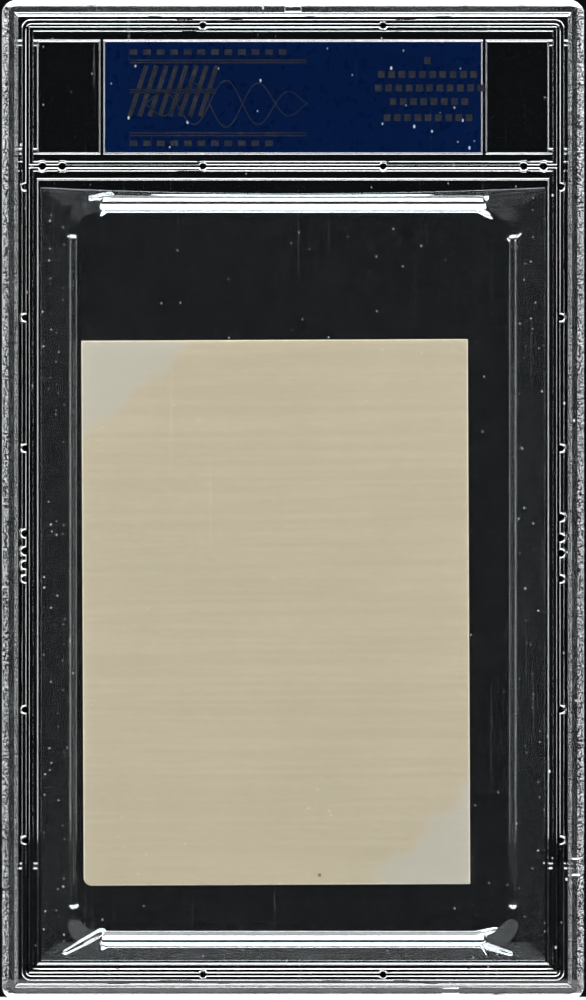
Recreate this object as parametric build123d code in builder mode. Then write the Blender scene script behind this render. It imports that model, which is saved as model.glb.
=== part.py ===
from build123d import *

import os
from math import atan2, degrees

# A sealed, clear slab that holds one graded trading card. It stands upright on its bottom edge.
# Millimetres. X is the width, +Z runs up to the label end, and Y is the thickness: the back of
# the slab faces -Y and its front faces +Y. The two shells meet in the plane y = 0. The origin is
# under the middle of the slab, on the surface that it stands on.

# ---- Whole slab ----
slab_width = 79.4
slab_height = 136.5
slab_thickness = 5.4
slab_corner_radius = 1.95

# ---- Raised rim, which keeps the windows off a table or the next slab in a stack ----
rim_relief = 0.5             # how far the windows lie below the top of the rim
rim_bevel = 0.9              # width of the frosted outer bevel
rim_land = 0.85              # flat top of the rim
rim_slope = 0.35             # width of the inner slope, down to the window
window_thickness = 1.1

# ---- Weld joint round the edge: a tongue on the front shell in a groove in the back shell ----
weld_outer_wall = 2.75       # from the slab's edge to the groove
weld_groove_width = 1.45
weld_groove_corner = 1.2
weld_groove_floor = 0.9      # plastic left under the groove
tongue_width = 0.4
lug_diameter = 1.0           # round energy directors along the tongue
lug_clearance = 0.15
lug_outset = 0.35            # from the tongue's middle line out to theirs, on the long sides
lug_count = 6                # on each long side
lug_start = 16.9             # first lug above the foot of the card well
lug_stop = 1.05              # last lug below the top of the card well
end_lug_spread = 24.6        # between the two lugs on each short run
side_peg_diameter = 1.1
side_peg_rises = ((1.9, 3.8, 6.2), (3.5, 5.6, 8.4))  # above the third lug, on the left and right
vent_width = 0.6             # channels that let air out of the wells during welding
vent_depth = 0.7
vent_outer_wall = 1.85       # from the slab's side to the end of each vent
low_vent_start = 13.4        # lowest vent above the foot of the card well

# ---- Divider between the card well and the label bay ----
divider_height = 3.5
divider_groove_width = 1.15
divider_groove_overrun = 0.9  # how far its groove runs on past the side grooves
divider_peg_diameter = 1.1
divider_peg_insets = (5.5, 8.2)   # from the slab's side to each locating peg
peg_clearance = 0.2

# ---- Wells ----
side_inner_wall = 0.65       # weld groove to the wells, on the two sides
foot_inner_wall = 0.7        # weld groove to the card well, below
head_inner_wall = 1.35       # weld groove to the label bay, above
label_rib = 0.6              # thin wall at each end of the label

# ---- Label, two plies back to back ----
label_width = 51.3
label_height = 15.1
label_corner_radius = 0.6
label_paper_thickness = 0.3
label_foil_thickness = 0.2
label_clearance = 0.15       # round the edge
label_slack = 0.05           # between the label and each window

# ---- Card ----
card_thickness = 0.45
card_side_play = 5.95        # sleeve pocket wider than the card by this
card_end_play = 23.55        # and longer by this
card_left_share = 0.105      # part of the side play that lies to the left of the card
card_low_share = 0.263       # part of the end play that lies under the card
card_tilt = 0.25             # degrees; the loose card lies slightly askew
card_corner_radius = 0.15
card_worn_corner_radius = 1.1

# ---- Sleeve: two clear films sealed together along four raised beads ----
film_thickness = 0.25
film_edge_clearance = 0.45   # film to the walls of the card well
film_head_clearance = 1.15   # film to the top of the card well
film_corner_radius = 0.5
card_slack = 0.075           # between the card and each film
bead_side_inset = 4.8        # card well's side to the crest of a side bead
bead_end_inset = 3.4         # card well's end to the crest of an end bead
side_bead_width = 1.4
end_bead_width = 2.4
bead_crest_width = 0.4
bead_clearance = 0.05        # bead to the shell's window
pocket_corner_radius = 4.7   # the beads stop this far short of the pocket's corners

# ---- Gate pads, shallow flats on the back shell's rim where it was cut from its runners ----
gate_pad_length = 2.2
gate_pad_width = 1.05
gate_pad_depth = 0.35        # below the top of the rim
gate_pad_inset = 1.1         # from the slab's edge to the pad's middle
gate_pad_x = 21.5            # of the pad on the bottom edge; the one on the top edge is central
gate_pad_z = 18.2            # of the pad on the right edge

# ---- Worked out from the sizes above ----
half_thickness = slab_thickness / 2
rim_width = rim_bevel + rim_land + rim_slope
window_face = half_thickness - rim_relief            # outer face of each window, from y = 0
well_depth = window_face - window_thickness          # inner face of each window, from y = 0
weld_depth = window_face - weld_groove_floor
middle_z = slab_height / 2

weld_inset = weld_outer_wall + weld_groove_width / 2  # to the middle of the groove
well_inset = weld_outer_wall + weld_groove_width      # to the groove's inner wall
weld_width = slab_width - 2 * weld_inset
weld_height = slab_height - 2 * weld_inset
divider_groove_length = slab_width - 2 * (weld_outer_wall - divider_groove_overrun)

side_wall = well_inset + side_inner_wall
foot_wall = well_inset + foot_inner_wall
bay_top = slab_height - well_inset - head_inner_wall
bay_height = label_height + 2 * label_clearance
bay_foot = bay_top - bay_height
bay_z = bay_foot + bay_height / 2
divider_z = bay_foot - divider_height / 2
well_width = slab_width - 2 * side_wall
well_top = bay_foot - divider_height
well_height = well_top - foot_wall
well_z = foot_wall + well_height / 2
label_recess_width = label_width + 2 * label_clearance
side_bay_width = (well_width - label_recess_width) / 2 - label_rib
side_bay_x = (well_width - side_bay_width) / 2
label_recess_depth = (label_paper_thickness + label_foil_thickness) / 2 + label_slack

lug_first_z = foot_wall + lug_start
lug_pitch = (well_height - lug_start - lug_stop) / (lug_count - 1)
lug_x = weld_width / 2 + lug_outset
middle_lug_z = lug_first_z + 2 * lug_pitch

film_width = well_width - 2 * film_edge_clearance
film_height = well_height - film_edge_clearance - film_head_clearance
film_z = foot_wall + film_edge_clearance + film_height / 2
bead_height = well_depth - bead_clearance
pocket_width = well_width - 2 * bead_side_inset      # between the crests of the side beads
pocket_height = well_height - 2 * bead_end_inset     # between the crests of the end beads
pocket_gap = card_thickness + 2 * card_slack
pocket_inside_width = pocket_width - side_bead_width
pocket_inside_height = pocket_height - end_bead_width
card_width = pocket_inside_width - card_side_play
card_height = pocket_inside_height - card_end_play
card_x = (card_left_share - 0.5) * card_side_play
card_z = well_z + (card_low_share - 0.5) * card_end_play

bevel_angle = degrees(atan2(rim_bevel, rim_relief))
slope_angle = degrees(atan2(rim_slope, rim_relief))
side_bead_angle = degrees(atan2((side_bead_width - bead_crest_width) / 2, bead_height))
end_bead_angle = degrees(atan2((end_bead_width - bead_crest_width) / 2, bead_height))

# Sketch planes. Both have local y up; the front one looks the other way.
back_plane = Plane.XZ
front_plane = Plane(origin=(0, 0, 0), x_dir=(-1, 0, 0), z_dir=(0, 1, 0))
towards_upper_right = Axis((0, 0, 0), (1, 1, 0))


def side_lug_spots(x):
    """Places of the large lugs up one long side of the weld joint."""
    return [(x, lug_first_z + i * lug_pitch) for i in range(lug_count)]


def end_lug_spots(z):
    """Places of the two lugs on a short run of the weld joint."""
    return [(-end_lug_spread / 2, z), (end_lug_spread / 2, z)]


# The lugs on the long sides stand outside the middle line of the tongue, the others on it.
lug_spots = [
    *side_lug_spots(-lug_x),
    *side_lug_spots(lug_x),
    *end_lug_spots(middle_z + weld_height / 2),
    *end_lug_spots(middle_z - weld_height / 2),
    *end_lug_spots(divider_z),
]
side_peg_spots = [
    (side * lug_x, middle_lug_z + rise)
    for side, rises in zip((-1, 1), side_peg_rises)
    for rise in rises
]
divider_peg_spots = [
    (side * (slab_width / 2 - inset), divider_z) for side in (-1, 1) for inset in divider_peg_insets
]
# Each vent runs out from a well, over the weld groove; the upper two start at the bay's corners.
vent_length = side_wall - vent_outer_wall
vent_x = slab_width / 2 - side_wall + vent_length / 2
vent_spots = [
    (side * vent_x, z)
    for side in (-1, 1)
    for z in (foot_wall + low_vent_start, bay_foot + vent_width / 2, bay_top - vent_width / 2)
]

# ---- Shape that the two shells share, drawn as the back one: rim, windows and wells ----
with BuildPart() as shell_blank:
    with BuildSketch(back_plane):
        with Locations((0, middle_z)):
            RectangleRounded(slab_width, slab_height, slab_corner_radius)
    extrude(amount=window_face)
    with BuildSketch(back_plane.offset(window_face)):
        with Locations((0, middle_z)):
            RectangleRounded(slab_width, slab_height, slab_corner_radius)
    extrude(amount=rim_relief, taper=bevel_angle)
    with BuildSketch(back_plane.offset(window_face)):
        with Locations((0, middle_z)):
            Rectangle(slab_width - 2 * rim_width, slab_height - 2 * rim_width)
    extrude(amount=rim_relief, taper=-slope_angle, mode=Mode.SUBTRACT)
    with BuildSketch(back_plane):
        with Locations((0, well_z)):
            Rectangle(well_width, well_height)
        with Locations((-side_bay_x, bay_z), (side_bay_x, bay_z)):
            Rectangle(side_bay_width, bay_height)
    extrude(amount=well_depth, mode=Mode.SUBTRACT)
    with BuildSketch(back_plane):
        with Locations((0, bay_z)):
            Rectangle(label_recess_width, bay_height)
    extrude(amount=label_recess_depth, mode=Mode.SUBTRACT)

# ---- Back shell: weld groove, sockets, vents and gate pads ----
with BuildPart() as back_shell:
    add(shell_blank.part)
    with BuildSketch(back_plane):
        with Locations((0, middle_z)):
            RectangleRounded(
                weld_width + weld_groove_width, weld_height + weld_groove_width, weld_groove_corner
            )
            Rectangle(
                weld_width - weld_groove_width, weld_height - weld_groove_width, mode=Mode.SUBTRACT
            )
        with Locations((0, divider_z)):
            Rectangle(divider_groove_length, divider_groove_width)
        with Locations(*lug_spots):
            Circle(lug_diameter / 2 + lug_clearance)
        with Locations(*side_peg_spots):
            Circle(side_peg_diameter / 2 + peg_clearance)
        with Locations(*divider_peg_spots):
            Circle(divider_peg_diameter / 2 + peg_clearance)
    extrude(amount=weld_depth, mode=Mode.SUBTRACT)
    with BuildSketch(back_plane):
        with Locations(*vent_spots):
            Rectangle(vent_length, vent_width)
    extrude(amount=vent_depth, mode=Mode.SUBTRACT)
    with BuildSketch(back_plane.offset(half_thickness)):
        with Locations((0, slab_height - gate_pad_inset), (gate_pad_x, gate_pad_inset)):
            Rectangle(gate_pad_length, gate_pad_width)
        with Locations((slab_width / 2 - gate_pad_inset, gate_pad_z)):
            Rectangle(gate_pad_width, gate_pad_length)
    extrude(amount=-gate_pad_depth, mode=Mode.SUBTRACT)
back_shell.part.label = "back_shell"

# ---- Front shell: the tongue, its lugs and the locating pegs that enter the back shell ----
with BuildPart() as front_shell:
    mirror(shell_blank.part, about=Plane.XZ)
    with BuildSketch(back_plane):
        with Locations((0, middle_z)):
            RectangleRounded(
                weld_width + tongue_width, weld_height + tongue_width,
                weld_groove_corner - (weld_groove_width - tongue_width) / 2,
            )
            Rectangle(weld_width - tongue_width, weld_height - tongue_width, mode=Mode.SUBTRACT)
        with Locations((0, divider_z)):
            Rectangle(weld_width, tongue_width)
        with Locations(*lug_spots):
            Circle(lug_diameter / 2)
        with Locations(*side_peg_spots):
            Circle(side_peg_diameter / 2)
        with Locations(*divider_peg_spots):
            Circle(divider_peg_diameter / 2)
    extrude(amount=weld_depth)
front_shell.part.label = "front_shell"


def press_film(plane):
    """One film of the sleeve: flat margin, raised pocket and four solid beads, away from y = 0."""
    with BuildPart() as film:
        with BuildSketch(plane):
            with Locations((0, film_z)):
                RectangleRounded(film_width, film_height, film_corner_radius)
        extrude(amount=film_thickness)
        with BuildSketch(plane):
            with Locations((0, well_z)):
                RectangleRounded(pocket_width, pocket_height, pocket_corner_radius)
        extrude(amount=pocket_gap / 2 + film_thickness)
        with BuildSketch(plane):
            with Locations((0, well_z)):
                RectangleRounded(
                    pocket_width - 2 * film_thickness, pocket_height - 2 * film_thickness,
                    pocket_corner_radius - film_thickness,
                )
        extrude(amount=pocket_gap / 2, mode=Mode.SUBTRACT)
        with BuildSketch(plane):
            with Locations((-pocket_width / 2, well_z), (pocket_width / 2, well_z)):
                Rectangle(side_bead_width, pocket_height - 2 * pocket_corner_radius)
        extrude(amount=bead_height, taper=side_bead_angle)
        with BuildSketch(plane):
            with Locations((0, well_z - pocket_height / 2), (0, well_z + pocket_height / 2)):
                Rectangle(pocket_width - 2 * pocket_corner_radius, end_bead_width)
        extrude(amount=bead_height, taper=end_bead_angle)
    return film.part


# ---- Sleeve films ----
with BuildPart() as sleeve_back_film:
    add(press_film(back_plane))
sleeve_back_film.part.label = "sleeve_back_film"

with BuildPart() as sleeve_front_film:
    add(press_film(front_plane))
sleeve_front_film.part.label = "sleeve_front_film"

# ---- Card: one thick paper card, with its lower left corner worn round ----
with BuildPart() as card:
    with BuildSketch(back_plane.offset(-card_thickness / 2)) as card_outline:
        with Locations((card_x, card_z)):
            Rectangle(card_width, card_height, rotation=card_tilt)
        fillet(card_outline.vertices().sort_by(towards_upper_right)[1:], card_corner_radius)
        fillet(card_outline.vertices().sort_by(towards_upper_right)[0], card_worn_corner_radius)
    extrude(amount=card_thickness)
card.part.label = "card"

# ---- Label: printed paper at the front, dark foil ply behind it ----
with BuildPart() as label_front_paper:
    with BuildSketch(front_plane.offset(label_recess_depth - label_slack - label_paper_thickness)):
        with Locations((0, bay_z)):
            RectangleRounded(label_width, label_height, label_corner_radius)
    extrude(amount=label_paper_thickness)
label_front_paper.part.label = "label_front_paper"

with BuildPart() as label_back_foil:
    with BuildSketch(back_plane.offset(label_recess_depth - label_slack - label_foil_thickness)):
        with Locations((0, bay_z)):
            RectangleRounded(label_width, label_height, label_corner_radius)
    extrude(amount=label_foil_thickness)
label_back_foil.part.label = "label_back_foil"

os.makedirs("parts", exist_ok=True)
pieces = (
    back_shell, front_shell, sleeve_back_film, sleeve_front_film, card, label_front_paper, label_back_foil
)
for piece in pieces:
    export_step(piece.part, f"parts/{piece.part.label}.step")
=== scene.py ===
# A sealed clear slab that shows one old trading card in a film sleeve, under a dark blue label.
# Lengths are metres. The slab stands on z = 0, its back faces -Y and +Z runs up to its label.
import math

import bmesh
import bpy
import numpy as np
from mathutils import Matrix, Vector


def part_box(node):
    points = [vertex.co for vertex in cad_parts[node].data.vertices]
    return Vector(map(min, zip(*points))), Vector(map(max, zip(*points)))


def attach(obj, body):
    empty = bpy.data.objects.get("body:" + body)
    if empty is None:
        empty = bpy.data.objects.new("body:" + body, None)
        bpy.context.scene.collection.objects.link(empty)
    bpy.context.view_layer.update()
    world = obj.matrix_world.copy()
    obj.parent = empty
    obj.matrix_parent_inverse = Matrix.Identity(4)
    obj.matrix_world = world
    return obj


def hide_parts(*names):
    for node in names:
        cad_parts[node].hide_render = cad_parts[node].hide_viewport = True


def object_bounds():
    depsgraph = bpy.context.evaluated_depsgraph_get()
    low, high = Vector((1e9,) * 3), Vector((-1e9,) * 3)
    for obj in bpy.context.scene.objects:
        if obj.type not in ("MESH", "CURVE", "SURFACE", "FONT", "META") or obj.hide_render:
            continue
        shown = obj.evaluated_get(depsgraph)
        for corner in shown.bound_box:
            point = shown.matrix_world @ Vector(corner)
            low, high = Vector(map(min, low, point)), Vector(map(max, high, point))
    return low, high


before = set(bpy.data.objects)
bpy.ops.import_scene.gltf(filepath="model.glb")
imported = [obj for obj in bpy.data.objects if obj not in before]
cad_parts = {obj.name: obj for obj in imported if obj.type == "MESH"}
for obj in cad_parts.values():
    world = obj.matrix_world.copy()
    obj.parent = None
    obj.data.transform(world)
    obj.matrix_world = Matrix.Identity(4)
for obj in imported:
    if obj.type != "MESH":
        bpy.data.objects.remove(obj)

cad_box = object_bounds()
MM = 0.001

# ---- Camera and light ----
# A long lens looks square on at the back of the slab. A broad light high in front shows the card and
# the label. Two lights behind, one high and one low, and a weak panel at each side light the clear
# plastic from behind, so that its edges and beads stand out against the dark room.
slab_low, slab_high = cad_box
slab_middle = (slab_low[2] + slab_high[2]) / 2
field_height = 136.45 * MM
lens_length = 900.0
camera_data = bpy.data.cameras.new("copy_camera")
camera_data.lens = lens_length
camera_data.sensor_width = 36.0
camera_data.clip_end = 100.0
camera = bpy.data.objects.new("copy_camera", camera_data)
bpy.context.scene.collection.objects.link(camera)
camera.location = (0, slab_low[1] - field_height * lens_length / camera_data.sensor_width, slab_middle)
camera.rotation_euler = (math.radians(90), 0, 0)
bpy.context.scene.camera = camera
bpy.context.scene.view_settings.view_transform = "Standard"


def panel_light(name, place, size, watts):
    """A rectangular light at a place, turned to the middle of the slab."""
    data = bpy.data.lights.new(name, "AREA")
    data.shape = "RECTANGLE"
    data.size, data.size_y = size
    data.energy = watts
    light = bpy.data.objects.new(name, data)
    bpy.context.scene.collection.objects.link(light)
    light.location = place
    aim = Vector((0, 0, slab_middle)) - Vector(place)
    light.rotation_euler = aim.to_track_quat("-Z", "Y").to_euler()


rear_distance, rear_height = 0.8, 0.46
panel_light("front_light", (0, -0.95, 1.15), (2.0, 0.5), 21)
panel_light("rear_light", (0, rear_distance, 0.39), (1.5, rear_height), 8.5)
panel_light("low_rear_light", (0, rear_distance, -0.27), (0.8, rear_height), 4.3)
for panel_name, panel_x in (("left_panel", -0.85), ("right_panel", 0.85)):
    panel_light(panel_name, (panel_x, 0.75, 0.3), (0.55, 0.6), 2.6)

world = bpy.data.worlds.new("dark_room")
bpy.context.scene.world = world
world.use_nodes = True
world.node_tree.nodes["Background"].inputs["Color"].default_value = (0.004, 0.0045, 0.005, 1)


# ---- Floor ----
# A small pale oval board that the slab stands on, near its far edge. It isn't part of the object,
# and it ends close behind the slab, so that little of it shows or mirrors in the clear plastic.
def mesh_object(name, points, faces, smooth=False):
    """A mesh object at the origin from rows of points and of face corners."""
    mesh = bpy.data.meshes.new(name)
    mesh.from_pydata(np.asarray(points).tolist(), [], [list(face) for face in faces])
    mesh.polygons.foreach_set("use_smooth", np.full(len(mesh.polygons), smooth))
    mesh.update()
    piece = bpy.data.objects.new(name, mesh)
    bpy.context.scene.collection.objects.link(piece)
    return piece


def new_finish(name, colour, roughness):
    """A principled material, with its node tree and shader."""
    finish = bpy.data.materials.new(name)
    finish.use_nodes = True
    shader = finish.node_tree.nodes["Principled BSDF"]
    shader.inputs["Base Color"].default_value = (*colour, 1)
    shader.inputs["Roughness"].default_value = roughness
    return finish, finish.node_tree, shader


def wear(piece, finish):
    """Gives a piece one finish all over."""
    piece.data.materials.clear()
    piece.data.materials.append(finish)


board_half_width, board_half_depth, board_forward = 0.19, 0.085, 0.063
board_top = -0.01 * MM
board_sides = 160
turn = np.linspace(0, 2 * np.pi, board_sides, endpoint=False)
board_x = board_half_width * np.cos(turn)
board_y = board_half_depth * np.sin(turn) - board_forward
board_rim = np.column_stack([board_x, board_y, np.full(board_sides, board_top)])
board = mesh_object("table", board_rim, [range(board_sides)])
board_paint, _, _ = new_finish("pale_table", (0.6, 0.6, 0.59), 0.6)
wear(board, board_paint)


# ---- Label, back ply ----
# Thin card faced with dark blue foil. It lies in the shallow recess of the two shells, and its
# corners are cut round. Fine dust has settled on it.
def add_node(tree, kind, inputs=None, **settings):
    """A shader node, with its settings, and with its inputs given as values or as other sockets."""
    node = tree.nodes.new(kind)
    for key, value in settings.items():
        setattr(node, key, value)
    for key, value in (inputs or {}).items():
        if isinstance(value, bpy.types.NodeSocket):
            tree.links.new(value, node.inputs[key])
        else:
            node.inputs[key].default_value = value
    return node


def sums(tree, operation, first, second=0.0, third=0.0):
    """The output of one Math node."""
    inputs = {0: first, 1: second, 2: third}
    return add_node(tree, "ShaderNodeMath", inputs, operation=operation).outputs[0]


def ramp_between(tree, value, low, high, floor=0.0, top=1.0):
    """A smooth step from floor to top as value goes from low to high."""
    inputs = {"Value": value, "From Min": low, "From Max": high, "To Min": floor, "To Max": top}
    return add_node(tree, "ShaderNodeMapRange", inputs, interpolation_type="SMOOTHSTEP").outputs[0]


def object_place(tree):
    """The Object coordinates and their separate X, Y and Z."""
    place = add_node(tree, "ShaderNodeTexCoord").outputs["Object"]
    axes = add_node(tree, "ShaderNodeSeparateXYZ", {0: place}).outputs
    return place, axes[0], axes[1], axes[2]


def stretched(tree, place, scale, turn_y=0.0):
    """The place scaled along each axis and turned in the slab's plane, for a grain with a direction."""
    inputs = {"Vector": place, "Scale": scale, "Rotation": (0, turn_y, 0)}
    return add_node(tree, "ShaderNodeMapping", inputs).outputs[0]


def cloud(tree, place, scale, detail=2.0, roughness=0.5):
    """Noise from 0 to 1."""
    inputs = {"Vector": place, "Scale": scale, "Detail": detail, "Roughness": roughness}
    return add_node(tree, "ShaderNodeTexNoise", inputs).outputs[0]


def tint(tree, share, first, second):
    """A colour between two, by share."""
    node = add_node(tree, "ShaderNodeMix", {0: share}, data_type="RGBA")
    for socket, colour in ((node.inputs[6], first), (node.inputs[7], second)):
        if isinstance(colour, bpy.types.NodeSocket):
            tree.links.new(colour, socket)
        else:
            socket.default_value = (*colour, 1)
    return node.outputs[2]


def dust_dots(tree, place, spacing, size, share):
    """1 on small round specks: cells of one spacing, of which a share hold a speck. A speck's radius
    goes from nothing up to size."""
    cells = add_node(tree, "ShaderNodeTexVoronoi", {"Vector": place, "Scale": 1 / spacing})
    chance = add_node(tree, "ShaderNodeSeparateColor", {0: cells.outputs["Color"]}).outputs
    radius = sums(tree, "MULTIPLY", chance[1], size / spacing)
    inside = sums(tree, "LESS_THAN", cells.outputs["Distance"], radius)
    return sums(tree, "MULTIPLY", inside, sums(tree, "LESS_THAN", chance[0], share))


def bumped(tree, shader, height, depth):
    """Raises the shader's surface by height times depth, in metres."""
    bump = add_node(tree, "ShaderNodeBump", {"Strength": 1.0, "Distance": depth, "Height": height})
    tree.links.new(bump.outputs[0], shader.inputs["Normal"])


foil, tree, shader = new_finish("navy_foil", (0.0, 0.009, 0.05), 0.3)
place, _, _, _ = object_place(tree)
mottle = cloud(tree, place, 900, 3)
navy = tint(tree, mottle, (0.0, 0.0060, 0.040), (0.0, 0.0080, 0.047))
dust_place = stretched(tree, place, (1, 1, 0.6), 0.4)
dust = dust_dots(tree, dust_place, 1.05 * MM, 0.2 * MM, 0.13)
dust_colour = (0.50, 0.55, 0.62)
tree.links.new(tint(tree, dust, navy, dust_colour), shader.inputs["Base Color"])
tree.links.new(ramp_between(tree, mottle, 0.2, 0.8, 0.26, 0.32), shader.inputs["Roughness"])
shader.inputs["Specular IOR Level"].default_value = 0.1
bumped(tree, shader, cloud(tree, place, 2600, 2), 0.002 * MM)
wear(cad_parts["label_back_foil"], foil)


# ---- Print on the back of the label ----
# Dull bronze hot-stamped lines: rules, a hatched block, two crossing waves and rows of small
# blocks. They are plain geometry in place of any mark or words.
def stamped_lines(name, lines, face_y, lift):
    """Thin closed strips on the plane y = face_y, raised by lift. Each line is (x array, z array,
    width): its edges lie half a width to each side of the line, at right angles to it."""
    points, faces = [], []
    for xs, zs, width in lines:
        along = np.gradient(np.column_stack([xs, zs]), axis=0)
        along /= np.linalg.norm(along, axis=1, keepdims=True)
        side = np.column_stack([-along[:, 1], along[:, 0]]) * width / 2
        line = np.column_stack([xs, zs])
        corners = [(line + side, face_y + lift), (line - side, face_y + lift),
                   (line - side, face_y), (line + side, face_y)]
        start, count = len(points), len(xs)
        points += [(x, y, z) for edge, y in corners for x, z in edge]
        for ring in range(4):
            near, far = start + ring * count, start + (ring + 1) % 4 * count
            faces += [(near + i, near + i + 1, far + i + 1, far + i) for i in range(count - 1)]
        faces.append(tuple(start + ring * count for ring in range(4)))
        faces.append(tuple(start + ring * count + count - 1 for ring in (3, 2, 1, 0)))
    piece = mesh_object(name, points, faces)
    work = bmesh.new()
    work.from_mesh(piece.data)
    bmesh.ops.recalc_face_normals(work, faces=work.faces)
    work.to_mesh(piece.data)
    work.free()
    return piece


def stroke(x_from, z_from, x_to, z_to, width):
    """One straight line of print between two points, in millimetres."""
    return (np.array([x_from, x_to]) * MM, np.array([z_from, z_to]) * MM, width * MM)


def rule(x_from, x_to, z, width):
    """One level line of print, in millimetres."""
    return stroke(x_from, z, x_to, z, width)


def block_row(x_from, x_to, z, width, pitch, gap):
    """A row of short blocks of one height, at a pitch, with gaps between them."""
    return [rule(x, x + pitch - gap, z, width) for x in np.arange(x_from, x_to - 0.5 * pitch, pitch)]


def hatch(x_from, x_to, z_low, z_high, count, width):
    """Slanted lines across a block, which lean by a third of its height."""
    lean = (z_high - z_low) / 3
    feet = np.linspace(x_from, x_to - lean, count)
    return [stroke(x, z_low, x + lean, z_high, width) for x in feet]


def wave(x_from, x_to, z, height, turns, start, width):
    """A sine wave along X, with smaller swings towards its ends."""
    t = np.linspace(0, 1, 90)
    swing = height / 2 * np.sin(np.pi * t) ** 0.6 * np.sin(2 * np.pi * (turns * t + start))
    return ((x_from + (x_to - x_from) * t) * MM, (z + swing) * MM, width * MM)


label_low, label_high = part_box("label_back_foil")
label_z = (label_low.z + label_high.z) / 2 / MM
print_lift = 0.012 * MM
stamp_left, stamp_right, hatch_right, column_x = -22.3, 1.8, -10.4, 18.6
rule_width, wave_width, hatch_width = 0.16, 0.14, 0.62
back_lines = [rule(stamp_left, stamp_right, label_z + level, rule_width)
              for level in (5.05, 4.72, -4.88, -5.25)]
back_lines += [rule(stamp_left, hatch_right, label_z + level, rule_width) for level in (1.0, 0.65)]
back_lines += hatch(stamp_left, hatch_right, label_z - 2.6, label_z + 4.3, 8, hatch_width)
for start in (0, 0.5):
    back_lines.append(wave(-20.4, stamp_right + 0.3, label_z - 0.9, 6.4, 2.5, start, wave_width))
for row_right, level in ((0.6, 6.15), (-2.4, -6.3)):
    back_lines += block_row(stamp_left, row_right, label_z + level, 0.75, 1.85, 0.8)
for level, half in ((5.0, 0.7), (3.1, 7.0), (1.25, 7.4), (-0.6, 5.4), (-2.8, 6.2)):
    back_lines += block_row(column_x - half, column_x + half, label_z + level, 0.95, 1.4, 0.5)
stamp = stamped_lines("label_stamped_lines", back_lines, label_low.y, -print_lift)
bronze, tree, shader = new_finish("dull_bronze_stamp", (0.026, 0.025, 0.023), 0.4)
place, _, _, _ = object_place(tree)
kept = ramp_between(tree, cloud(tree, place, 2200, 3), 0.42, 0.66)
rubbed_colour, bronze_colour = (0.006, 0.009, 0.020), (0.026, 0.025, 0.022)
tree.links.new(tint(tree, kept, rubbed_colour, bronze_colour), shader.inputs["Base Color"])
wear(stamp, bronze)
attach(stamp, "slab")

# ---- Label, front ply ----
# White printed paper behind the foil ply, read from the front of the slab. A grey-blue frame and
# rows of plain blocks stand for its print.
paper, tree, shader = new_finish("label_paper", (0.62, 0.61, 0.59), 0.7)
place, _, _, _ = object_place(tree)
fibre = cloud(tree, stretched(tree, place, (1, 1, 2.5)), 1800, 4)
tree.links.new(tint(tree, fibre, (0.56, 0.555, 0.53), (0.66, 0.655, 0.63)), shader.inputs["Base Color"])
bumped(tree, shader, fibre, 0.012 * MM)
wear(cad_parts["label_front_paper"], paper)

paper_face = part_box("label_front_paper")[1].y
frame_inset, frame_line = 0.9, 0.9
x_edge = label_high.x / MM - frame_inset
z_edge = (label_high.z - label_low.z) / 2 / MM - frame_inset
x_reach = x_edge + frame_line / 2
front_lines = [rule(-x_reach, x_reach, label_z + level, frame_line) for level in (-z_edge, z_edge)]
front_lines += [stroke(x, label_z - z_edge, x, label_z + z_edge, frame_line) for x in (-x_edge, x_edge)]
border = stamped_lines("label_front_frame", front_lines, paper_face, print_lift)
slate, tree, shader = new_finish("slate_ink", (0.10, 0.16, 0.24), 0.55)
place, _, _, _ = object_place(tree)
ink_grain = cloud(tree, place, 4000, 2)
tree.links.new(tint(tree, ink_grain, (0.085, 0.14, 0.22), (0.13, 0.19, 0.27)), shader.inputs["Base Color"])
wear(border, slate)
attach(border, "slab")

words_left, words_right = -21.5, 22.5
words = []
for row_left, level in ((-4.5, 4.2), (3.2, 1.6), (8.0, -1.0)):
    words += block_row(row_left, words_right, label_z + level, 1.2, 1.7, 0.55)
words += [rule(words_left, -15.5, label_z + 2.6, 3.6)]
words += block_row(words_left, -11.0, label_z - 1.3, 0.9, 1.3, 0.4)
stripe_rng = np.random.default_rng(7)
stripe_count, stripe_low, stripe_high = 38, label_z - 5.2, label_z - 3.0
stripe_x = 22.3 - np.cumsum(stripe_rng.uniform(0.35, 0.75, stripe_count))
stripe_widths = stripe_rng.uniform(0.12, 0.34, stripe_count)
words += [stroke(x, stripe_low, x, stripe_high, width) for x, width in zip(stripe_x, stripe_widths)]
ink = stamped_lines("label_front_print", words, paper_face, print_lift)
black, tree, shader = new_finish("black_ink", (0.02, 0.02, 0.022), 0.5)
place, _, _, _ = object_place(tree)
ink_colour = tint(tree, cloud(tree, place, 4000, 2), (0.014, 0.014, 0.016), (0.035, 0.035, 0.04))
tree.links.new(ink_colour, shader.inputs["Base Color"])
wear(ink, black)
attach(ink, "slab")


# ---- Card ----
# One thick, old, toned paper card with a blank back and one corner worn round. Its cut edges are
# paler than its face, and corner mounts have left two lighter, greyer marks.
same_point = 0.001 * MM
most_sides = 30
fine_share = 0.34


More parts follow.
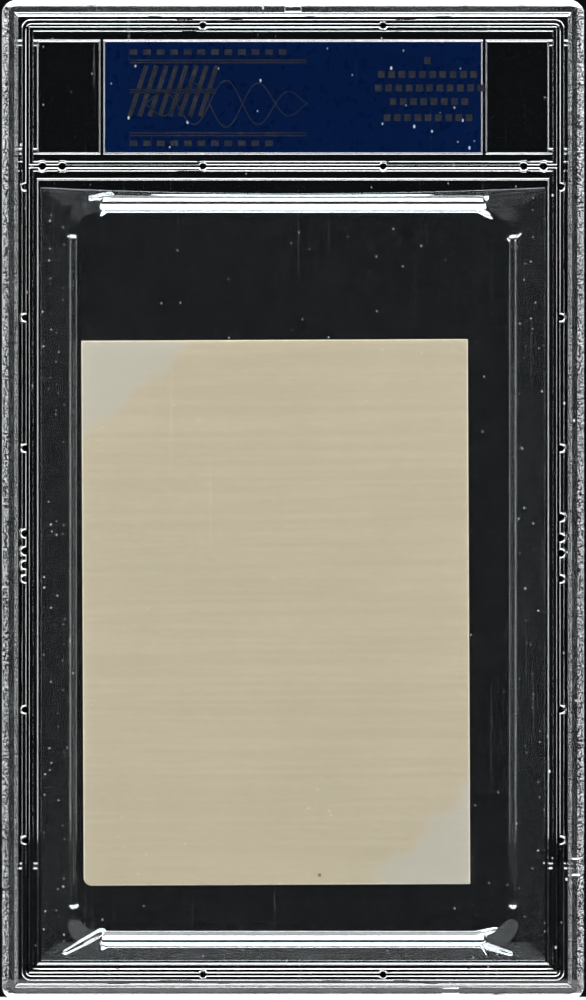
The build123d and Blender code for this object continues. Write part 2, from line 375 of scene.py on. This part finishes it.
def rounded_copy(node, name, radius, fine_depth=None, parting_gap=0.0):
    """A copy of a CAD node. Its double points are merged, its flat faces joined, and those with more
    than most_sides sides cut into triangles, which the bevel needs. Its sharp edges are rounded to the
    radius, or to fine_share of it on the small features that lie at the fine depth along Y. Points on
    the parting plane y = 0 move back by the gap."""
    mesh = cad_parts[node].data.copy()
    work = bmesh.new()
    work.from_mesh(mesh)
    bmesh.ops.remove_doubles(work, verts=work.verts, dist=same_point)
    bmesh.ops.dissolve_limit(work, angle_limit=math.radians(1), verts=work.verts, edges=work.edges)
    bmesh.ops.triangulate(work, faces=[face for face in work.faces if len(face.verts) > most_sides])
    weights = work.edges.layers.float.new("bevel_weight_edge")
    for edge in work.edges:
        if edge.calc_face_angle(0) > math.radians(25):
            depths = [] if fine_depth is None else [abs(vert.co.y - fine_depth) for vert in edge.verts]
            edge[weights] = fine_share if any(depth < 0.02 * MM for depth in depths) else 1.0
    for vert in work.verts:
        if abs(vert.co.y) < same_point:
            vert.co.y += parting_gap
    work.to_mesh(mesh)
    work.free()
    piece = bpy.data.objects.new(name, mesh)
    bpy.context.scene.collection.objects.link(piece)
    bevel = piece.modifiers.new("worn_edges", "BEVEL")
    bevel.width = radius
    bevel.segments = 2
    bevel.limit_method = "WEIGHT"
    bevel.miter_outer = "MITER_SHARP"
    bevel.use_clamp_overlap = False
    bevel.harden_normals = True
    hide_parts(node)
    return piece


card_low, card_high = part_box("card")
card_tilt = math.radians(0.25)
card_middle = (card_low + card_high) / 2
card_half_width, card_half_height = 26.36 * MM, 37.2 * MM
card_piece = rounded_copy("card", "old_card", 0.06 * MM)
stock, tree, shader = new_finish("toned_card_stock", (0.56, 0.47, 0.33), 0.85)
place, _, _, _ = object_place(tree)
local = add_node(tree, "ShaderNodeMapping", {"Vector": place, "Location": -card_middle}).outputs[0]
local = add_node(tree, "ShaderNodeMapping", {"Vector": local, "Rotation": (0, card_tilt, 0)}).outputs[0]
card_axes = add_node(tree, "ShaderNodeSeparateXYZ", {0: local}).outputs
card_x, card_y, card_z = card_axes[0], card_axes[1], card_axes[2]
broad = cloud(tree, local, 45, 3)
fine = cloud(tree, stretched(tree, local, (0.25, 1, 1)), 3200, 3, 0.6)
laid = cloud(tree, stretched(tree, local, (0.02, 1, 1)), 1300, 2)
toned = tint(tree, ramp_between(tree, broad, 0.3, 0.7), (0.535, 0.452, 0.318), (0.572, 0.476, 0.332))
fibres = sums(tree, "MULTIPLY", ramp_between(tree, fine, 0.3, 0.7), 0.45)
toned = tint(tree, fibres, toned, (0.60, 0.52, 0.385))
stain_colour = (0.50, 0.42, 0.29)
laid_lines = sums(tree, "MULTIPLY", ramp_between(tree, laid, 0.35, 0.65), 0.35)
toned = tint(tree, laid_lines, toned, stain_colour)


def corner_mark(side_x, side_z, reach, drift):
    """1 in a soft-edged triangle at a corner of the card."""
    from_side = sums(tree, "SUBTRACT", card_half_width, sums(tree, "MULTIPLY", card_x, side_x))
    from_end = sums(tree, "SUBTRACT", card_half_height, sums(tree, "MULTIPLY", card_z, side_z))
    wander = sums(tree, "MULTIPLY", cloud(tree, local, drift, 3), 9 * MM)
    depth = sums(tree, "ADD", sums(tree, "ADD", from_side, from_end), wander)
    return ramp_between(tree, depth, (reach + 4.5) * MM, (reach + 2.0) * MM)


marks = sums(tree, "MAXIMUM", corner_mark(-1, 1, 15.5, 170), corner_mark(1, -1, 14.5, 190))
toned = tint(tree, sums(tree, "MULTIPLY", marks, 0.8), toned, (0.535, 0.495, 0.41))
# A thin dark line across the card, broken by noise: painted shade along a crease, which the card's shape
# doesn't have.
shaded_crease_z = 10.0 * MM
off_shaded_crease = sums(tree, "ABSOLUTE", sums(tree, "SUBTRACT", card_z, shaded_crease_z))
crease_shape_and_shade = ramp_between(tree, off_shaded_crease, 0.16 * MM, 0.02 * MM)
crease_shape_and_shade = sums(tree, "MULTIPLY", crease_shape_and_shade, ramp_between(tree, cloud(tree, local, 90), 0.45, 0.6))
toned = tint(tree, sums(tree, "MULTIPLY", crease_shape_and_shade, 0.35), toned, (0.42, 0.34, 0.22))
toned = tint(tree, dust_dots(tree, local, 5.5 * MM, 0.32 * MM, 0.10), toned, (0.25, 0.19, 0.12))
toned = tint(tree, dust_dots(tree, local, 4.1 * MM, 0.17 * MM, 0.08), toned, (0.68, 0.62, 0.50))
near_side = sums(tree, "SUBTRACT", card_half_width, sums(tree, "ABSOLUTE", card_x))
near_end = sums(tree, "SUBTRACT", card_half_height, sums(tree, "ABSOLUTE", card_z))
near_edge = sums(tree, "MINIMUM", near_side, near_end)
ragged = sums(tree, "MULTIPLY", cloud(tree, local, 800, 3), 0.16 * MM)
edge_wear = ramp_between(tree, sums(tree, "ADD", near_edge, ragged), 0.30 * MM, 0.10 * MM)
back_colour = tint(tree, edge_wear, toned, (0.86, 0.77, 0.57))

# The printed face of the card: a pale margin round a plain two-tone panel with a round sun, worn
# through to the paper along its edges.
side_margin, end_margin = 3.4 * MM, 3.6 * MM
in_panel = sums(tree, "MINIMUM", sums(tree, "SUBTRACT", near_side, side_margin),
                sums(tree, "SUBTRACT", near_end, end_margin))
in_panel = ramp_between(tree, in_panel, -0.02 * MM, 0.04 * MM)
hill_drop, hill_rise, hill_turn = 9 * MM, 3.2 * MM, 120.0
hill = sums(tree, "MULTIPLY", sums(tree, "SINE", sums(tree, "MULTIPLY", card_x, hill_turn)), hill_rise)
over_hill = sums(tree, "SUBTRACT", sums(tree, "ADD", card_z, hill_drop), hill)
ground = ramp_between(tree, over_hill, 0.05 * MM, -0.05 * MM)
sky = tint(tree, ramp_between(tree, card_z, -12 * MM, 34 * MM), (0.62, 0.56, 0.36), (0.16, 0.33, 0.40))
sun_x = sums(tree, "SUBTRACT", card_x, -7 * MM)
sun_z = sums(tree, "SUBTRACT", card_z, 12 * MM)
sun_squares = sums(tree, "ADD", sums(tree, "MULTIPLY", sun_x, sun_x), sums(tree, "MULTIPLY", sun_z, sun_z))
sun_far = sums(tree, "SQRT", sun_squares)
sky = tint(tree, ramp_between(tree, sun_far, 8.05 * MM, 7.95 * MM), sky, (0.62, 0.20, 0.06))
picture = tint(tree, ground, sky, (0.10, 0.17, 0.09))
dot_pitch = 0.28 * MM
dots = add_node(tree, "ShaderNodeTexVoronoi", {"Vector": local, "Scale": 1 / dot_pitch, "Randomness": 0.0})
screen = ramp_between(tree, dots.outputs["Distance"], 0.28, 0.5)
margin_colour = (0.66, 0.60, 0.46)
picture = tint(tree, sums(tree, "MULTIPLY", screen, 0.20), picture, margin_colour)
front_colour = tint(tree, in_panel, margin_colour, picture)
stain = sums(tree, "MULTIPLY", ramp_between(tree, broad, 0.45, 0.8), 0.25)
front_colour = tint(tree, stain, front_colour, stain_colour)
front_colour = tint(tree, edge_wear, front_colour, (0.80, 0.73, 0.57))
is_front = sums(tree, "GREATER_THAN", card_y, 0.15 * MM)
tree.links.new(tint(tree, is_front, back_colour, front_colour), shader.inputs["Base Color"])
tree.links.new(ramp_between(tree, fine, 0.2, 0.8, 0.78, 0.92), shader.inputs["Roughness"])
bumped(tree, shader, sums(tree, "ADD", fine, laid), 0.012 * MM)
wear(card_piece, stock)
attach(card_piece, "card")


# ---- Sleeve films ----
# Two clear films hold the card. They are sealed to each other along four raised beads, which stop
# short of the pocket's round corners, where the film is drawn into small creases.
film_low, film_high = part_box("sleeve_back_film")
film_edge, film_foot, film_top = film_high.x, film_low.z, film_high.z
film_thick, edge_share, film_feather = 0.25 * MM, 0.15, 2.5 * MM
film_sag, top_bow = 0.02 * MM, 0.8 * MM
seal_gap = 0.01 * MM
pocket_rise, pocket_step, pocket_round = 0.30 * MM, 1.3 * MM, 3.2 * MM
pocket_x, pocket_foot, pocket_top = 30.05 * MM, 8.3 * MM, 108.65 * MM
pocket_z = (pocket_foot + pocket_top) / 2
pocket_half = (pocket_top - pocket_foot) / 2
bead_crest, bead_stop = -film_low.y, 4.7 * MM
side_bead, end_bead = 0.8 * MM, 2.0 * MM


def smooth_step(value, low, high):
    """0 below low, 1 above high, and a smooth S between."""
    t = np.clip((value - low) / (high - low), 0, 1)
    return t * t * (3 - 2 * t)


def ridge(x, z, start, end, width, height, point=0.0):
    """A round-topped ridge along a straight line: height times the square root of 1 - (distance / half
    width) squared. point narrows and lowers it towards its end, from 0, not at all, to 1, to nothing."""
    line = np.subtract(end, start)
    t = np.clip(((x - start[0]) * line[0] + (z - start[1]) * line[1]) / (line @ line), 0, 1)
    far = np.hypot(x - start[0] - t * line[0], z - start[1] - t * line[1])
    half = width / 2 * (1 - point * t)
    return height * (1 - point * t) * np.sqrt(np.clip(1 - (far / np.maximum(half, 1e-6)) ** 2, 0, 1))


def pocket_distance(x, z):
    """Distance outside the pocket's outline, a rectangle with round corners; less than 0 inside it."""
    dx = np.abs(x) - (pocket_x - pocket_round)
    dz = np.abs(z - pocket_z) - (pocket_half - pocket_round)
    past_corner = np.hypot(np.maximum(dx, 0), np.maximum(dz, 0))
    return past_corner + np.minimum(np.maximum(dx, dz), 0) - pocket_round


# Creases at the corners, as (corner x sign, corner z sign, start, end, width, height), all in
# millimetres: the start and end are measured in from the pocket's corner along x and z.
crease_point = 0.6
creases = [
    (-1, 1, (5.0, -1.3), (2.4, -0.8), 0.85, 0.72), (-1, 1, (5.1, 0.0), (4.6, -1.3), 0.45, 0.55),
    (-1, 1, (4.9, 0.3), (3.5, 1.8), 0.6, 0.65), (-1, 1, (0.1, 4.9), (-0.7, 4.1), 0.3, 0.3),
    (1, 1, (4.9, -0.2), (3.5, -0.9), 0.6, 0.6), (1, 1, (4.8, 0.6), (2.6, 2.0), 0.7, 0.72),
    (1, 1, (0.3, 5.0), (2.6, 2.2), 0.3, 0.36), (1, 1, (0.1, 4.9), (-1.0, 3.9), 0.3, 0.25),
    (-1, -1, (3.9, 0.9), (-1.0, -1.8), 0.95, 0.7), (-1, -1, (4.9, 0.0), (3.7, 1.1), 0.6, 0.6),
    (-1, -1, (4.9, -0.5), (4.0, -1.3), 0.45, 0.45), (-1, -1, (0.2, 4.8), (1.4, 3.5), 0.35, 0.4),
    (1, -1, (4.7, 0.6), (1.9, 1.5), 0.85, 0.72), (1, -1, (4.5, -0.7), (0.3, -2.0), 0.65, 0.6),
    (1, -1, (4.2, -0.9), (3.0, -3.0), 0.3, 0.12), (1, -1, (0.2, 4.8), (1.0, 4.0), 0.3, 0.35),
]


def film_height(x, z):
    """How far the film's outer face stands from y = 0: a margin that thins to edge_share of the film's
    thickness at its rim, with the raised pocket, the four beads or the creases on it, whichever is
    highest, and a slight sag outside the pocket. Nothing stands above the crest of the beads."""
    outside = pocket_distance(x, z)
    rim = np.minimum(film_edge - np.abs(x), np.minimum(z - film_foot, film_top - z))
    thick = film_thick * (edge_share + (1 - edge_share) * np.clip(rim / film_feather, 0, 1))
    height = thick + pocket_rise * smooth_step(-outside, -pocket_step, pocket_step)
    bead_rise = bead_crest - film_thick
    bead_x, bead_half = pocket_x - bead_stop, pocket_half - bead_stop
    for side in (-1, 1):
        x_bead, z_bead = side * pocket_x, pocket_z + side * pocket_half
        low, high = (x_bead, pocket_z - bead_half), (x_bead, pocket_z + bead_half)
        height = np.maximum(height, thick + ridge(x, z, low, high, side_bead, bead_rise))
        left, right = (-bead_x, z_bead), (bead_x, z_bead)
        height = np.maximum(height, thick + ridge(x, z, left, right, end_bead, bead_rise))
    for side_x, side_z, start, end, width, rise in creases:
        spots = [(side_x * (pocket_x - across * MM), pocket_z + side_z * (pocket_half - down * MM))
                 for across, down in (start, end)]
        crease_shape_and_shade = ridge(x, z, *spots, width * MM, rise * MM, point=crease_point)
        height = np.maximum(height, thick + crease_shape_and_shade)
    sag = film_sag * np.sin(x * 61 + 1.3) * np.sin(z * 47 + 0.4)
    sag = sag * smooth_step(outside, 0, 3 * MM) * smooth_step(rim, 0, MM)
    return np.minimum(height + sag, bead_crest)


def fine_lines(stops):
    """Grid lines over stretches given as (from, to, spacing)."""
    lines = [np.linspace(a, b, max(2, round(abs(b - a) / step) + 1))[:-1] for a, b, step in stops]
    return np.concatenate([*lines, [stops[-1][1]]])


# The grid is fine over the beads and the corners, and coarse elsewhere. Its last cells are narrow, so
# that the rounded shading doesn't bend over the film's cut edge.
crease_from, bead_to = 23.6 * MM, 31.3 * MM
fine_cell, edge_cell = 0.13 * MM, 0.03 * MM
x_lines = fine_lines([
    (0, crease_from, 1.6 * MM), (crease_from, bead_to, fine_cell),
    (bead_to, film_edge - edge_cell, 0.6 * MM), (film_edge - edge_cell, film_edge, edge_cell),
])
x_lines = np.concatenate([-x_lines[:0:-1], x_lines])
foot_from, foot_to, top_from, top_to = 6.0 * MM, 14.2 * MM, 102.8 * MM, 110.1 * MM
z_lines = fine_lines([
    (film_foot, film_foot + edge_cell, edge_cell), (film_foot + edge_cell, foot_from, 0.2 * MM),
    (foot_from, foot_to, fine_cell), (foot_to, top_from, 1.8 * MM), (top_from, top_to, fine_cell),
    (top_to, film_top - edge_cell, 0.2 * MM), (film_top - edge_cell, film_top, edge_cell),
])


def film_sheet(name, side):
    """A closed film on one side of y = 0: the grid of outer heights, and an inner face that stands a
    seal gap from y = 0 outside the pocket, also under the beads, and rises by the pocket's rise inside
    it. Its top edge bows down to top_bow at the middle, as 1 - (x / half width) squared."""
    x, z = np.meshgrid(x_lines, z_lines)
    outer = film_height(x, z)
    in_pocket = smooth_step(-pocket_distance(x, z), -pocket_step, pocket_step)
    inner = seal_gap + (pocket_rise - seal_gap) * in_pocket
    bow = top_bow * (1 - (x / film_edge) ** 2) * smooth_step(z, film_top - 1.4 * MM, film_top)
    layers = [np.column_stack([x.ravel(), (side * y).ravel(), (z - bow).ravel()]) for y in (outer, inner)]
    cell = np.arange(x.size).reshape(x.shape)
    quads = np.stack([cell[:-1, :-1], cell[:-1, 1:], cell[1:, 1:], cell[1:, :-1]], axis=-1)
    quads = quads.reshape(-1, 4)
    under = quads[:, ::-1] + x.size
    loop = np.concatenate([cell[0, :], cell[1:, -1], cell[-1, -2::-1], cell[-2:0:-1, 0]])
    after = np.roll(loop, -1)
    wall = np.stack([loop, loop + x.size, after + x.size, after], axis=-1)
    faces = np.concatenate([quads, under, wall])
    if side > 0:
        faces = faces[:, ::-1]
    return mesh_object(name, np.concatenate(layers), faces, smooth=True)


clear_film, tree, shader = new_finish("clear_sleeve_film", (0.93, 0.95, 0.96), 0.05)
shader.inputs["IOR"].default_value = 1.5
place, along_x, _, along_z = object_place(tree)
from_middle = sums(tree, "ABSOLUTE", sums(tree, "SUBTRACT", along_z, pocket_z))
past_side = sums(tree, "SUBTRACT", sums(tree, "ABSOLUTE", along_x), pocket_x)
past_end = sums(tree, "SUBTRACT", from_middle, pocket_half)
in_margin = ramp_between(tree, sums(tree, "MAXIMUM", past_side, past_end), 0.3 * MM, 0.9 * MM)
grit = sums(tree, "MULTIPLY", dust_dots(tree, place, 0.9 * MM, 0.13 * MM, 0.45), 0.3)
bloom = ramp_between(tree, cloud(tree, place, 6000, 2), 0.3, 0.7, 0.001, 0.004)
dulled = ramp_between(tree, in_margin, 0, 1, 0.4, 1)
white_share = sums(tree, "MULTIPLY", sums(tree, "ADD", grit, bloom), dulled)
tree.links.new(sums(tree, "SUBTRACT", 1.0, white_share), shader.inputs["Transmission Weight"])
ripple = cloud(tree, place, 420, 3)
tree.links.new(ramp_between(tree, ripple, 0.2, 0.8, 0.015, 0.04), shader.inputs["Roughness"])
bumped(tree, shader, ripple, 0.002 * MM)
for node, side in (("sleeve_back_film", -1), ("sleeve_front_film", 1)):
    sheet = film_sheet(node + "_formed", side)
    sheet.visible_shadow = False
    wear(sheet, clear_film)
    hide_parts(node)
    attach(sheet, "slab")

# ---- Shells ----
# Two clear polystyrene mouldings, welded face to face round the rim and across the divider. Their
# windows are polished, and the rim is spark-eroded in the mould, so it is frosted, with painted glints.
styrene, tree, shader = new_finish("clear_styrene", (0.95, 0.965, 0.975), 0.03)
shader.inputs["IOR"].default_value = 1.58
place, along_x, _, along_z = object_place(tree)
from_side = sums(tree, "SUBTRACT", slab_high[0], sums(tree, "ABSOLUTE", along_x))
off_middle = sums(tree, "ABSOLUTE", sums(tree, "SUBTRACT", along_z, slab_middle))
inset = sums(tree, "MINIMUM", from_side, sums(tree, "SUBTRACT", slab_middle, off_middle))
on_bevel = ramp_between(tree, inset, 1.0 * MM, 0.8 * MM)
on_land = ramp_between(tree, inset, 2.2 * MM, 2.0 * MM)
# Sparse bright specks on the frosted rim: its grain, and painted glints, which raise the frost's white
# share up to six times.
frost_grain_and_glints = ramp_between(tree, cloud(tree, place, 4200, 2, 0.6), 0.54, 0.64, 0.35, 6.0)
patchy = ramp_between(tree, cloud(tree, place, 210, 4, 0.65), 0.35, 0.65, 0.5, 1.5)
bevel_frost, land_frost = 0.015, 0.009
frost_and_glints = sums(tree, "ADD", sums(tree, "MULTIPLY", on_bevel, bevel_frost),
             sums(tree, "MULTIPLY", on_land, land_frost))
frost_and_glints = sums(tree, "MULTIPLY", sums(tree, "MULTIPLY", frost_and_glints, frost_grain_and_glints), patchy)
dust = dust_dots(tree, stretched(tree, place, (1, 1, 0.7), 0.7), 1.7 * MM, 0.15 * MM, 0.35)
white_share = sums(tree, "ADD", frost_and_glints, sums(tree, "MULTIPLY", dust, 0.5))
tree.links.new(sums(tree, "SUBTRACT", 1.0, white_share), shader.inputs["Transmission Weight"])
scratch = cloud(tree, stretched(tree, place, (1, 1, 0.015), 0.5), 2600, 1)
scuff = ramp_between(tree, scratch, 0.70, 0.78, 0.0, 0.12)
tree.links.new(sums(tree, "ADD", scuff, 0.015), shader.inputs["Roughness"])
bumped(tree, shader, sums(tree, "MULTIPLY", frost_grain_and_glints, on_bevel), 0.0025 * MM)
edge_radius, weld_floor = 0.12 * MM, -1.3 * MM
for node, parting_gap in (("back_shell", -0.004 * MM), ("front_shell", 0.004 * MM)):
    moulding = rounded_copy(node, node + "_moulding", edge_radius, weld_floor, parting_gap)
    moulding.visible_shadow = False
    wear(moulding, styrene)
    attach(moulding, "slab")
